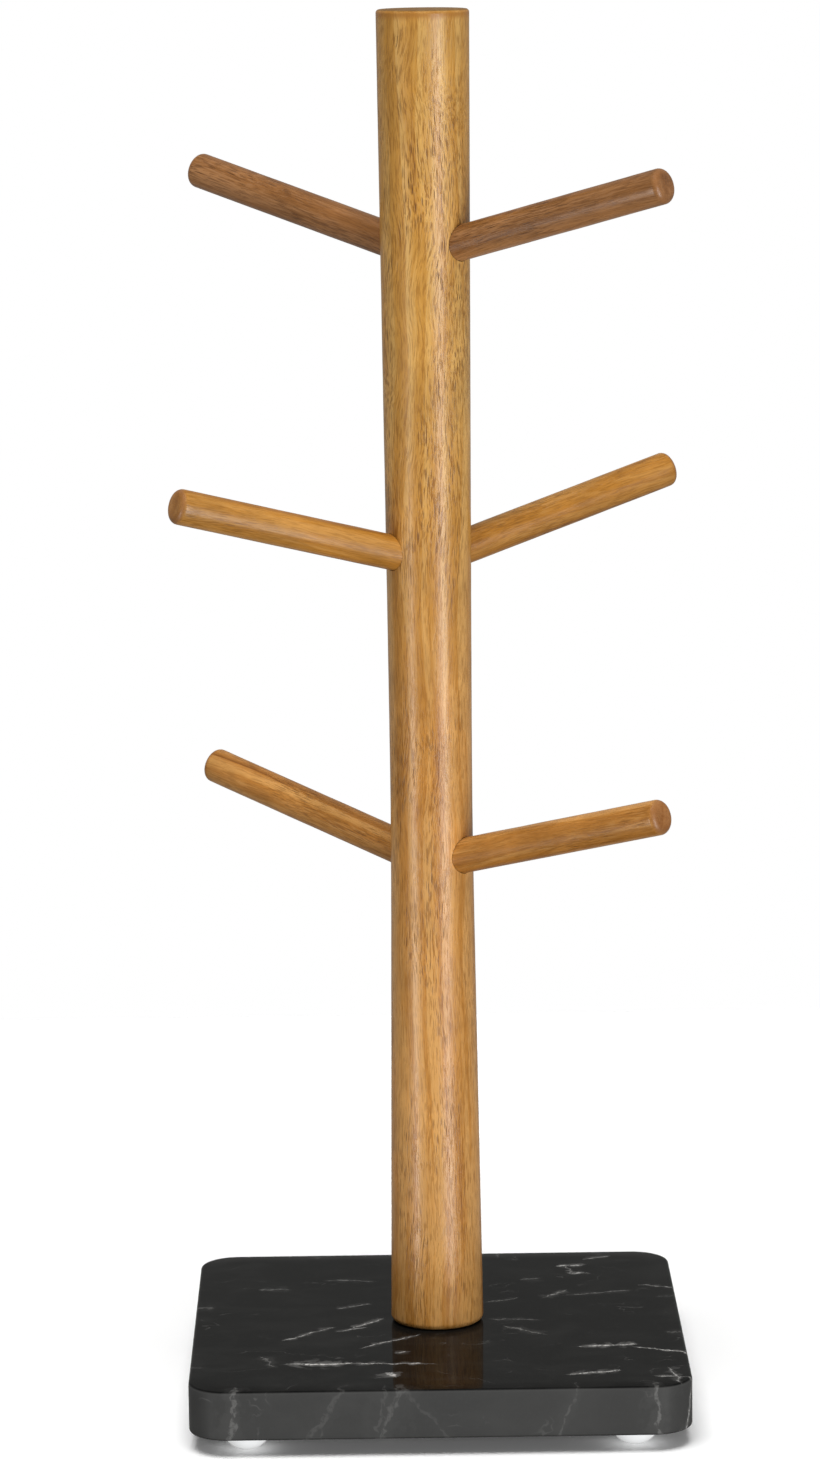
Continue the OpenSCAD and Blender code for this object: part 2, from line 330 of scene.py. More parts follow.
    # end grain drinks more oil and goes dull and dark, and the end faces are also darkened as painted
    # shade
    _, _, facing = splitVector(tree, given["Normal"])
    endFacing = fade(tree, maths(tree, "ABSOLUTE", facing), *look["endRange"])
    endOilAndShadeMask = maths(tree, "MULTIPLY", endFacing, given["End Shade"])
    endOilAndShadeTone = vectorMaths(tree, "MULTIPLY", color, given["End Tint"])
    color = mixColor(tree, endOilAndShadeMask, color, endOilAndShadeTone)

    feed(tree, result["Color"], color)
    loss = maths(tree, "MULTIPLY", endOilAndShadeMask, look["dullEnds"])
    loss = maths(tree, "MULTIPLY_ADD", narrow, look["dullLines"], loss)
    loss = maths(tree, "MULTIPLY_ADD", poreMask, look["dullPores"], loss)
    feed(tree, result["Gloss Loss"], loss)
    relief = maths(tree, "MULTIPLY", hatchMask, look["hatchRelief"])
    relief = maths(tree, "MULTIPLY_ADD", poreMask, look["poreRelief"], relief)
    relief = maths(tree, "MULTIPLY_ADD", narrow, look["lineRelief"], relief)
    feed(tree, result["Height"], relief)
    return tree


veinSettings = {
    "endRange": (1.0, 0.55),      # shares of the half length over which a vein comes in from its end
    "leastWidth": 0.02,           # millimetres, so that a faded end never divides by nothing
    "coreRange": (1.0, 0.3),      # shares of the width, from the bright core's edge inwards
    "hazeRange": (5.0, 0.6),
    "haze": 0.14,
}


def makeVeinGroup(look):
    # One calcite vein through stone: a thin sheet that fades at both ends and breaks up along its length.
    # Along is one over the half length, Across has unit length on the face and leans with depth.
    tree, given, result = newGroup("stoneVein", [
        ("Point", "vector", (0, 0, 0)), ("Middle", "vector", (0, 0, 0)), ("Along", "vector", (1, 0, 0)),
        ("Across", "vector", (0, 1, 0)), ("Width", "number", 0.5), ("Swell", "number", 1.0),
        ("Breaks", "number", 1.0), ("Strength", "number", 1.0)],
        [("Mask", "number")])
    offset = vectorMaths(tree, "SUBTRACT", given["Point"], given["Middle"])
    reach = maths(tree, "ABSOLUTE", vectorMaths(tree, "DOT_PRODUCT", offset, given["Along"]))
    ends = fade(tree, reach, *look["endRange"])
    aside = maths(tree, "ABSOLUTE", vectorMaths(tree, "DOT_PRODUCT", offset, given["Across"]))
    width = maths(tree, "MULTIPLY", given["Width"], maths(tree, "MULTIPLY", given["Swell"], ends))
    ratio = maths(tree, "DIVIDE", aside, maths(tree, "ADD", width, look["leastWidth"]))
    core = maths(tree, "MULTIPLY", fade(tree, ratio, *look["coreRange"]), given["Breaks"])
    haze = fade(tree, ratio, *look["hazeRange"], 0.0, look["haze"])
    mask = maths(tree, "MULTIPLY", maths(tree, "MAXIMUM", core, haze), ends)
    feed(tree, result["Mask"], maths(tree, "MULTIPLY", mask, given["Strength"]))
    return tree


rubSettings = {
    "patchRange": (0.35, 0.7),
    "patchShare": 0.6,
    "streakShare": 0.4,
}


def makeRubGroup(look):
    # Fine rubbing and dust: how much gloss a handled or brushed surface has lost, and its height.
    tree, given, result = newGroup("rubMarks", [
        ("Point", "vector", (0, 0, 0)), ("Stretch", "vector", (1, 1, 1)),
        ("Amount", "number", 0.5), ("Patch Size", "number", 12.0)],
        [("Loss", "number"), ("Height", "number")])
    streakPoint = vectorMaths(tree, "MULTIPLY", given["Point"], given["Stretch"])
    streak = noiseField(tree, streakPoint, detail=5, roughness=0.7)
    patchScale = maths(tree, "DIVIDE", 1.0, given["Patch Size"])
    patchPoint = vectorMaths(tree, "SCALE", given["Point"], scale=patchScale)
    patch = fade(tree, noiseField(tree, patchPoint, detail=3), *look["patchRange"])
    streaks = maths(tree, "MULTIPLY", streak, look["streakShare"])
    worn = maths(tree, "MULTIPLY_ADD", patch, look["patchShare"], streaks)
    loss = maths(tree, "MULTIPLY", worn, given["Amount"])
    feed(tree, result["Loss"], loss)
    feed(tree, result["Height"], maths(tree, "MULTIPLY", streak, given["Amount"]))
    return tree


woodGrain = makeWoodGroup(grainSettings)
stoneVein = makeVeinGroup(veinSettings)
rubMarks = makeRubGroup(rubSettings)
print("shared shader groups made")


# Mesh helpers

creaseAngle = math.radians(35)      # edges sharper than this stay crisp


def addPiece(name, bm, material):
    mesh = bpy.data.meshes.new(name)
    bmesh.ops.recalc_face_normals(bm, faces=bm.faces)
    bm.to_mesh(mesh)
    bm.free()
    piece = bpy.data.objects.new(name, mesh)
    scene.collection.objects.link(piece)
    mesh.materials.append(material)
    mesh.shade_smooth()
    mesh.set_sharp_from_angle(angle=creaseAngle)
    return piece


def latheMesh(profile, segments, wobble=None):
    # profile: (radius, height) from the lower pole to the upper one; a radius of 0 makes a pole
    bm = bmesh.new()
    rings = []
    for radius, height in profile:
        if radius < 1e-9:
            rings.append([bm.verts.new((0, 0, height))])
            continue
        ring = []
        for k in range(segments):
            turn = 2 * math.pi * k / segments
            r = radius + (wobble(turn, radius, height) if wobble else 0.0)
            ring.append(bm.verts.new((r * math.cos(turn), r * math.sin(turn), height)))
        rings.append(ring)
    for low, high in zip(rings, rings[1:]):
        for k in range(segments):
            nxt = (k + 1) % segments
            if len(low) == 1:
                bm.faces.new((low[0], high[nxt], high[k]))
            elif len(high) == 1:
                bm.faces.new((low[k], low[nxt], high[0]))
            else:
                bm.faces.new((low[k], low[nxt], high[nxt], high[k]))
    return bm


def arcPoints(centerR, centerZ, radius, fromDegrees, toDegrees, steps):
    points = []
    for k in range(steps + 1):
        a = math.radians(fromDegrees + (toDegrees - fromDegrees) * k / steps)
        points.append((centerR + radius * math.cos(a), centerZ + radius * math.sin(a)))
    return points


def pointAlong(origin, axis):
    # matrix that stands local Z on the axis, with local X kept as level as it can be
    z = axis.normalized()
    x = Vector((0, 0, 1)).cross(z)
    x = x.normalized() if x.length > 1e-6 else Vector((1, 0, 0))
    y = z.cross(x)
    turn = Matrix((x, y, z)).transposed().to_4x4()
    return Matrix.Translation(origin) @ turn


def spanOnAxis(nodeName, origin, axis):
    reach = [(v.co - origin).dot(axis) for v in frame["nodes"][nodeName].data.vertices]
    return min(reach), max(reach)


def cutAway(piece, cutters):
    for cutter in cutters:
        modifier = piece.modifiers.new("cut", "BOOLEAN")
        modifier.operation = "DIFFERENCE"
        modifier.solver = "EXACT"
        modifier.object = cutter
    bpy.context.view_layer.update()
    shape = piece.evaluated_get(bpy.context.evaluated_depsgraph_get())
    mesh = bpy.data.meshes.new_from_object(shape)
    piece.modifiers.clear()
    piece.data = mesh
    for cutter in cutters:
        bpy.data.objects.remove(cutter)


# Camera

cameraSettings = {
    "place": (-0.01536, -1.47, 0.44623),      # metres
    "pitch": 9.822,         # degrees below level
    "pan": 0.371,           # degrees to the right
    "roll": -0.7,
    "lens": 130.0,          # millimetres, as is the height of the frame behind it
    "frameHeight": 36.0,
    "farthest": 200.0,      # metres
}


def makeCamera(settings):
    pitch, pan, roll = (math.radians(settings[k]) for k in ("pitch", "pan", "roll"))
    flat = math.cos(pitch)
    ahead = Vector((math.sin(pan) * flat, math.cos(pan) * flat, -math.sin(pitch)))
    level = ahead.cross(Vector((0, 0, 1))).normalized()
    lift = level.cross(ahead)
    right = level * math.cos(roll) + lift * math.sin(roll)
    up = lift * math.cos(roll) - level * math.sin(roll)
    data = bpy.data.cameras.new("camera")
    data.lens = settings["lens"]
    data.sensor_width = settings["frameHeight"]
    data.clip_end = settings["farthest"]
    camera = bpy.data.objects.new("camera", data)
    scene.collection.objects.link(camera)
    turn = Matrix((right, up, -ahead)).transposed().to_4x4()
    camera.matrix_world = Matrix.Translation(settings["place"]) @ turn
    scene.camera = camera


makeCamera(cameraSettings)
print("camera placed")


# Marble slab

slabSettings = {
    "cornerRadius": 11.0 * mm,
    "edgeRadius": 0.9 * mm,
    "pocketRadius": 12.0 * mm,
    "pocketDepth": 6.8 * mm,
    "boltHoleRadius": 3.5 * mm,
    "creaseGap": 0.2 * mm,       # rings this close to the pocket's edges keep them crisp
    "cornerSteps": 14,
    "sideSteps": 22,
    "edgeSteps": 5,
    "topRings": 12,
    "sideRings": 5,
    "underRings": 9,
    "stone": (0.0048, 0.0048, 0.0046),
    "cloud": (0.011, 0.011, 0.0105),
    "cloudStretch": (0.05, 0.08, 0.07),
    "cloudRange": (0.4, 0.75),
    # glint: painted glint, random crystal cells lifted toward the cloud colour in the base colour
    "glintStretch": (1.4, 1.4, 1.4),
    "glintRange": (0.6, 1.0),
    "glint": 0.3,
    "shine": 0.026,              # share of plain polished stone's reflection
    "polishRough": 0.035,
    "rubRough": 0.05,
    "honedRough": 0.30,
    "veinRough": 0.10,
    "honedRange": (0.9, 0.35),   # how upright the surface faces, from polished top to honed side
    "honedLift": (0.045, 0.045, 0.044),
    "honedBump": 0.04 * mm,
    "rub": {"Stretch": (0.6, 0.6, 0.6), "Amount": 0.5, "Patch Size": 26.0},
    "vein": (0.66, 0.65, 0.63),
    "veinScale": 0.78,
    "veinReach": 0.62,           # half length as a share of the distance between a vein's two ends
    # how the stone's flow bends the veins: noise stretch and millimetres of shift
    "wideFlow": ((0.055, 0.055, 0.055), 5.0),
    "middlingFlow": ((0.13, 0.13, 0.16), 5.0),
    "tightFlow": ((0.33, 0.33, 0.33), 3.2),
    "swellStretch": (0.35, 0.35, 0.2),
    "swellRange": (0.3, 0.72, 0.35, 1.4),
    "breakStretch": (0.9, 0.9, 0.5),
    "breakRange": (0.36, 0.56, 0.2, 1.0),
    "hairStretch": (0.045, 0.075, 0.06),
    "hairWidth": 0.008,
    "hairPlace": (0.09, 0.09, 0.09),
    "hairRange": (0.52, 0.68),
    "hair": 0.05,
    # each vein: start x, y, end x, y, width, lean, strength, in millimetres on the slab's top
    "veins": [
        (-43, -44, -27, -44, 1.3, 0.3, 0.85), (-34, -43, -2, -45, 0.45, 0.3, 0.7),
        (-21, -27, -6, -17, 0.4, 0.2, 0.6), (-30, -12, -21, -8, 0.4, 0.4, 0.5),
        (-24, -8, -16, 1, 0.55, 0.2, 0.8), (-44, -20, -30, -7, 0.5, 0.5, 0.5),
        (-15, -53, -13, -57, 1.2, 0.0, 0.7), (40, -30, 57, -28, 0.75, 0.3, 0.85),
        (55, -31, 74, -39, 0.35, 0.2, 0.95), (35, -57, 50, -54, 0.7, 0.2, 0.85),
        (59, -59, 74, -62, 0.4, 0.3, 0.6), (37, 54, 45, 56, 0.6, 0.3, 0.7),
        (39, 47, 46, 46, 0.6, 0.3, 0.65), (38, 55, 41, 47, 0.35, 0.0, 0.5),
        (31, 20, 38, 28, 0.8, 0.4, 0.35), (37, 22, 58, 27, 0.5, 0.4, 0.22),
        (60, 33, 73, 28, 0.4, 0.2, 0.4), (14, 16, 24, 20, 0.5, 0.3, 0.28),
        (15, -1, 30, -3, 0.5, 0.3, 0.2), (19, -9, 31, -17, 0.8, 0.3, 0.2),
        (-32, 42, -18, 40, 0.7, 0.4, 0.22), (-52, 33, -43, 33, 0.9, 0.5, 0.16),
        (-29, 12, -19, 16, 0.7, 0.4, 0.25), (26, 39, 31, 41, 1.0, 0.5, 0.14),
        (45, 62, 52, 65, 0.6, 0.2, 0.35), (-12, -34, -8, -33, 0.6, 0.2, 0.5),
        (-50, -36, -46, -47, 0.8, 0.4, 0.15), (64, -52, 67, -66, 0.5, 0.1, 0.45)],
    # veins that come out on the sides: middle x, y, along x, y, half length, width, lean, strength
    "sideVeins": [
        (-58, -70, 0, 1, 7, 1.5, -0.12, 0.10), (-32, -70, 0, 1, 6, 1.9, -0.75, 0.04),
        (-14, -70, 0, 1, 7, 2.6, -0.45, 0.06), (-17, -70, 0, 1, 6, 1.6, -0.2, 0.035),
        (-4, -70, 0, 1, 6, 1.3, 0.9, 0.03), (35, -70, 0, 1, 6, 0.8, -0.35, 0.05),
        (60, -70, 0, 1, 7, 1.5, 0.12, 0.11), (70, -20, 1, 0, 7, 1.3, 0.4, 0.08),
        (70, 24, 1, 0, 6, 0.8, -0.5, 0.06), (-70, 12, 1, 0, 7, 1.5, 0.3, 0.08),
        (-70, -41, 1, 0, 6, 0.8, -0.7, 0.06), (22, 70, 0, 1, 7, 1.3, 0.5, 0.08),
        (-37, 70, 0, 1, 6, 1.2, -0.3, 0.06), (54, 70, 0, 1, 6, 0.8, 0.7, 0.06)],
}


def veinRows(settings):
    # each vein as its middle, direction, half length, width, lean and strength, in millimetres
    low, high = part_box("marble_slab")
    topZ, middleZ = high.z / mm, (low.z + high.z) / 2 / mm
    rows = []
    for x1, y1, x2, y2, width, lean, strength in settings["veins"]:
        run = Vector((x2 - x1, y2 - y1, 0))
        middle = ((x1 + x2) / 2, (y1 + y2) / 2, topZ)
        half = run.length * settings["veinReach"]
        rows.append((middle, run.normalized(), half, width, lean, strength))
    for x, y, alongX, alongY, half, width, lean, strength in settings["sideVeins"]:
        rows.append(((x, y, middleZ), Vector((alongX, alongY, 0)), half, width, lean, strength))
    return rows


def makeMarble(settings):
    material, tree, shader = newMaterial("black_marble", settings["stone"])
    point, normal = objectPoint(tree)
    wideStretch, wideShift = settings["wideFlow"]
    middlingStretch, middlingShift = settings["middlingFlow"]
    tightStretch, tightShift = settings["tightFlow"]
    wide = noiseField(tree, point, wideStretch, detail=2)
    tight = noiseField(tree, point, tightStretch, detail=4, roughness=0.62)
    shiftWide = maths(tree, "MULTIPLY", maths(tree, "SUBTRACT", wide, 0.5), wideShift)
    shiftTight = maths(tree, "MULTIPLY", maths(tree, "SUBTRACT", tight, 0.5), tightShift)
    middling = noiseField(tree, point, middlingStretch, detail=2)
    shiftMiddling = maths(tree, "MULTIPLY", maths(tree, "SUBTRACT", middling, 0.5), middlingShift)
    shiftX = maths(tree, "ADD", shiftTight, shiftMiddling)
    shiftY = maths(tree, "ADD", shiftWide, shiftTight)
    warped = vectorMaths(tree, "ADD", point, joinVector(tree, shiftX, shiftY, 0.0))

    swell = noiseField(tree, warped, settings["swellStretch"], detail=2)
    swell = fade(tree, swell, *settings["swellRange"])
    breaks = noiseField(tree, warped, settings["breakStretch"], detail=3)
    breaks = fade(tree, breaks, *settings["breakRange"])
    veinMask = None
    for middle, along, half, width, lean, strength in veinRows(settings):
        vein = placeGroup(tree, stoneVein, {
            "Point": warped, "Middle": middle, "Along": tuple(along / half),
            "Across": (along.y, -along.x, lean), "Width": width * settings["veinScale"],
            "Swell": swell, "Breaks": breaks, "Strength": strength})["Mask"]
        veinMask = vein if veinMask is None else maths(tree, "MAXIMUM", veinMask, vein)

    # faint hairlines everywhere, where a slow noise crosses its middle
    hair = noiseField(tree, warped, settings["hairStretch"], detail=3, roughness=0.45)
    hair = maths(tree, "ABSOLUTE", maths(tree, "SUBTRACT", hair, 0.5))
    hair = fade(tree, hair, settings["hairWidth"], 0.0)
    where = fade(tree, noiseField(tree, point, settings["hairPlace"], detail=2), *settings["hairRange"])
    hair = maths(tree, "MULTIPLY", maths(tree, "MULTIPLY", hair, where), settings["hair"])
    veinMask = maths(tree, "MAXIMUM", veinMask, hair)

    cloud = noiseField(tree, point, settings["cloudStretch"], detail=5, roughness=0.6, distortion=0.6)
    cloud = fade(tree, cloud, *settings["cloudRange"])
    color = mixColor(tree, cloud, settings["stone"], settings["cloud"])
    # painted glint: random crystal cells lifted toward the cloud colour in the base colour
    _, grainColor = cellField(tree, point, settings["glintStretch"])
    glint, _, _ = splitVector(tree, grainColor)
    glint = fade(tree, glint, *settings["glintRange"], 0.0, settings["glint"])
    color = mixColor(tree, glint, color, settings["cloud"])
    color = mixColor(tree, veinMask, color, settings["vein"])

    # the sides are honed rather than polished, and read a little paler
    _, _, facing = splitVector(tree, normal)
    honed = fade(tree, maths(tree, "ABSOLUTE", facing), *settings["honedRange"])
    paler = vectorMaths(tree, "ADD", color, settings["honedLift"])
    color = mixColor(tree, honed, color, paler)
    rub = placeGroup(tree, rubMarks, {"Point": point, **settings["rub"]})
    rough = maths(tree, "MULTIPLY_ADD", rub["Loss"], settings["rubRough"], settings["polishRough"])
    rough = maths(tree, "MULTIPLY_ADD", honed, settings["honedRough"], rough)
    rough = maths(tree, "MULTIPLY_ADD", veinMask, settings["veinRough"], rough)
    feed(tree, shader["Base Color"], color)
    feed(tree, shader["Roughness"], rough)
    shader["IOR"].default_value = 1.5
    shader["Specular IOR Level"].default_value = settings["shine"]
    height = maths(tree, "MULTIPLY", tight, honed)
    feed(tree, shader["Normal"], bumpNormal(tree, height, settings["honedBump"], 0.5))
    return material


def slabOutline(settings, halfX, halfY):
    # outline points with their outward directions, anticlockwise from the right-hand side
    corner = settings["cornerRadius"]
    signs = ((1, 1), (-1, 1), (-1, -1), (1, -1))
    centres = [Vector((x * (halfX - corner), y * (halfY - corner))) for x, y in signs]
    outline = []
    for quarter, centre in enumerate(centres):
        for k in range(settings["cornerSteps"] + 1):
            a = math.radians(90 * quarter + 90 * k / settings["cornerSteps"])
            outward = Vector((math.cos(a), math.sin(a)))
            outline.append((centre + outward * corner, outward))
        start, outward = outline[-1]
        end = centres[(quarter + 1) % 4] + outward * corner
        for k in range(1, settings["sideSteps"]):
            outline.append((start.lerp(end, k / settings["sideSteps"]), outward))
    return outline


def makeSlab(settings):
    low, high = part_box("marble_slab")
    outline = slabOutline(settings, (high.x - low.x) / 2, (high.y - low.y) / 2)
    edge, crease = settings["edgeRadius"], settings["creaseGap"]
    hole, pocket = settings["boltHoleRadius"], settings["pocketRadius"]
    topRings, sideRings, underRings = (settings[k] for k in ("topRings", "sideRings", "underRings"))
    bm = bmesh.new()

    def outlineLoop(inset, z):
        return [bm.verts.new((*(spot - outward * inset), z)) for spot, outward in outline]

    def roundLoop(radius, z):
        return [bm.verts.new((*(spot.normalized() * radius), z)) for spot, _ in outline]

    def blendLoop(radius, share, z):
        # between a circle (share 0) and the slab's outline inset by the edge (share 1)
        loop = []
        for spot, outward in outline:
            place = (spot.normalized() * radius).lerp(spot - outward * edge, share)
            loop.append(bm.verts.new((*place, z)))
        return loop

    # round the section: the top, the upper edge, the side, the lower edge, the underside and the pocket
    roof = low.z + settings["pocketDepth"]
    upperEdge = arcPoints(0, high.z - edge, edge, 90, 0, settings["edgeSteps"])
    lowerEdge = arcPoints(0, low.z + edge, edge, 0, -90, settings["edgeSteps"])
    side = high.z - low.z - 2 * edge
    loops = [roundLoop(hole, high.z)]
    loops += [blendLoop(hole, k / topRings, high.z) for k in range(1, topRings)]
    loops += [outlineLoop(edge - r, z) for r, z in upperEdge]
    loops += [outlineLoop(0, high.z - edge - side * k / sideRings) for k in range(1, sideRings)]
    loops += [outlineLoop(edge - r, z) for r, z in lowerEdge]
    loops += [blendLoop(pocket, 1 - k / underRings, low.z) for k in range(1, underRings)]
    loops += [roundLoop(pocket, z) for z in (low.z, low.z + crease, roof - crease, roof)]
    loops += [roundLoop(hole, roof)]
    count = len(outline)
    for first, second in zip(loops, loops[1:] + loops[:1]):
        for k in range(count):
            nxt = (k + 1) % count
            bm.faces.new((first[k], first[nxt], second[nxt], second[k]))
    piece = addPiece("marble_slab_stone", bm, makeMarble(settings))
    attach(piece, "root")
    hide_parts("marble_slab")


makeSlab(slabSettings)
print("slab made")


# Clear feet

footSettings = {
    "flatRadius": 2.5 * mm,
    "rim": 0.25 * mm,        # a thin upright rim where the foot sticks to the stone
    "rimTaper": 0.05 * mm,
    "segments": 72,
    "rings": 16,
    "preview": (0.86, 0.9, 0.92),
    "pale": (0.97, 0.98, 0.98),
    "dull": (0.92, 0.94, 0.95),
    "hazeStretch": (0.5, 0.5, 0.5),
    "rub": {"Stretch": (1.5, 1.5, 1.5), "Amount": 0.6, "Patch Size": 5.0},
    "rough": 0.10,
    "rubRough": 0.25,
    "rubBump": 0.01 * mm,
    "clearness": 0.12,
    "glow": 0.13,            # stands in for the light that clear rubber gathers from all round
}


def makeClearRubber(settings):
    material, tree, shader = newMaterial("clear_rubber", settings["preview"])
    point, _ = objectPoint(tree)
    haze = noiseField(tree, point, settings["hazeStretch"], detail=3)
    rub = placeGroup(tree, rubMarks, {"Point": point, **settings["rub"]})
    feed(tree, shader["Base Color"], mixColor(tree, haze, settings["pale"], settings["dull"]))
    rough = maths(tree, "MULTIPLY_ADD", rub["Loss"], settings["rubRough"], settings["rough"])
    feed(tree, shader["Roughness"], rough)
    shader["Transmission Weight"].default_value = settings["clearness"]
    shader["Emission Color"].default_value = (1.0, 1.0, 1.0, 1.0)
    shader["Emission Strength"].default_value = settings["glow"]
    shader["IOR"].default_value = 1.47
    feed(tree, shader["Normal"], bumpNormal(tree, rub["Height"], settings["rubBump"], 0.2))
    return material


def makeFeet(settings):
    material = makeClearRubber(settings)
    for nodeName in [n for n in frame["nodes"] if n.startswith("foot_") and n != "foot_insert"]:
        low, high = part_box(nodeName)
        radius, height = (high.x - low.x) / 2, high.z - low.z
        flat = settings["flatRadius"]
        # the dome is part of a ball that passes through the flat's edge and the top's
        ballZ = (radius ** 2 - flat ** 2 - height ** 2) / (2 * height)
        ballR = math.hypot(radius, ballZ)
        firstAngle = math.degrees(math.asin(-(ballZ + height) / ballR))
        lastAngle = math.degrees(math.asin(-ballZ / ballR))
        dome = arcPoints(0, height + ballZ, ballR, firstAngle, lastAngle, settings["rings"])
        rim = settings["rim"]
        profile = [(0, 0), (flat * 0.5, 0)] + dome[:-1]
        profile += [(radius - settings["rimTaper"], height - rim), (radius, height - rim * 0.5)]
        profile += [(radius, height), (radius * 0.6, height), (0, height)]
        piece = addPiece(nodeName + "_dome", latheMesh(profile, settings["segments"]), material)
        piece.location = ((low.x + high.x) / 2, (low.y + high.y) / 2, low.z)
        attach(piece, "root")
        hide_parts(nodeName)


makeFeet(footSettings)
print("feet made")


# Post

postSettings = {
    "footRadius": 13.3 * mm,
    "waistRadius": 11.65 * mm,
    "topRadius": 13.0 * mm,
    "waistHeight": 152.0 * mm,
    "waistSoftness": 0.12,
    "topRound": 1.0 * mm,
    "footRound": 2.0 * mm,
    "segments": 160,
    "rings": 190,
    "turningMarks": 0.02 * mm,
    "socketGap": 0.1 * mm,
    "insertBoreRadius": 3.55 * mm,
    "footBoreRadius": 5.05 * mm,
    "footBoreDepth": 13.5 * mm,
    "cutterStep": 0.5 * mm,          # how far an insert's bore runs past the insert
    "cutterReach": 20.0 * mm,        # how far a cutter stands out of the post
    "cutterLead": 1.0 * mm,          # how far the foot's cutter starts below it
    "cutterSegments": 96,
    "footCutterSegments": 64,
    "footArcSteps": 8,
    "topArcSteps": 6,
    "driftLength": 18.0 * mm,
    "rippleLength": 1.9 * mm,
    "ripple": 0.3,                   # share of the turning marks
    # End Shade darkens the top end: partly oiled end grain, partly painted shade
    "wood": {
        "Seed": 3.0, "Pale": (0.60, 0.350, 0.140), "Body": (0.480, 0.236, 0.060),
        "Deep": (0.23, 0.084, 0.013), "Ring Gap": 5.2, "Streaks": 1.3, "Pores": 1.0, "Figure": 1.0,
        "End Shade": 1.0, "Calm Below": 150.0, "Wild Above": 290.0},
    "edgeTone": (0.40, 0.165, 0.030),
    "edgeDepth": 1.2,                # millimetres, as is the width
    "edgeWidth": 1.9,
}

# the oiled finish that the post and the pegs share
oilSettings = {
    "rough": 0.21,
    "rubRough": 0.08,
    "grainRough": 0.22,
    "rub": {"Stretch": (0.8, 0.8, 0.15), "Amount": 1.0, "Patch Size": 18.0},
    "grainBump": 0.06 * mm,
    "bumpStrength": 0.55,
    "edgeShade": 0.8,
}


def postRadius(settings, z, height):
    # two tapers that blend at the waist
    soft = settings["waistSoftness"]
    end = settings["footRadius"] if z < settings["waistHeight"] else settings["topRadius"]
    run = settings["waistHeight"] if z < settings["waistHeight"] else height - settings["waistHeight"]
    u = abs(z - settings["waistHeight"]) / run
    share = (math.sqrt(u * u + soft * soft) - soft) / (math.sqrt(1 + soft * soft) - soft)
    return settings["waistRadius"] + (end - settings["waistRadius"]) * share


def makeWood(name, wood, edgeTone, edgeHeight, edgeWidth):
    # oiled wood, darker round the eased edge at edgeHeight
    material, tree, shader = newMaterial(name, wood["Body"])
    point, normal = objectPoint(tree)
    grain = placeGroup(tree, woodGrain, {"Point": point, "Normal": normal, **wood})
    _, _, height = splitVector(tree, point)
    fromEdge = maths(tree, "ABSOLUTE", maths(tree, "SUBTRACT", height, edgeHeight))
    near = maths(tree, "MULTIPLY", fade(tree, fromEdge, edgeWidth, 0.0), oilSettings["edgeShade"])
    color = mixColor(tree, near, grain["Color"], edgeTone)
    rub = placeGroup(tree, rubMarks, {"Point": point, **oilSettings["rub"]})
    feed(tree, shader["Base Color"], color)
    rough = maths(tree, "MULTIPLY_ADD", rub["Loss"], oilSettings["rubRough"], oilSettings["rough"])
    rough = maths(tree, "MULTIPLY_ADD", grain["Gloss Loss"], oilSettings["grainRough"], rough)
    feed(tree, shader["Roughness"], rough)
    shader["IOR"].default_value = 1.45
    shader["Specular IOR Level"].default_value = 0.5
    bump = bumpNormal(tree, grain["Height"], oilSettings["grainBump"], oilSettings["bumpStrength"])
    feed(tree, shader["Normal"], bump)
    return material


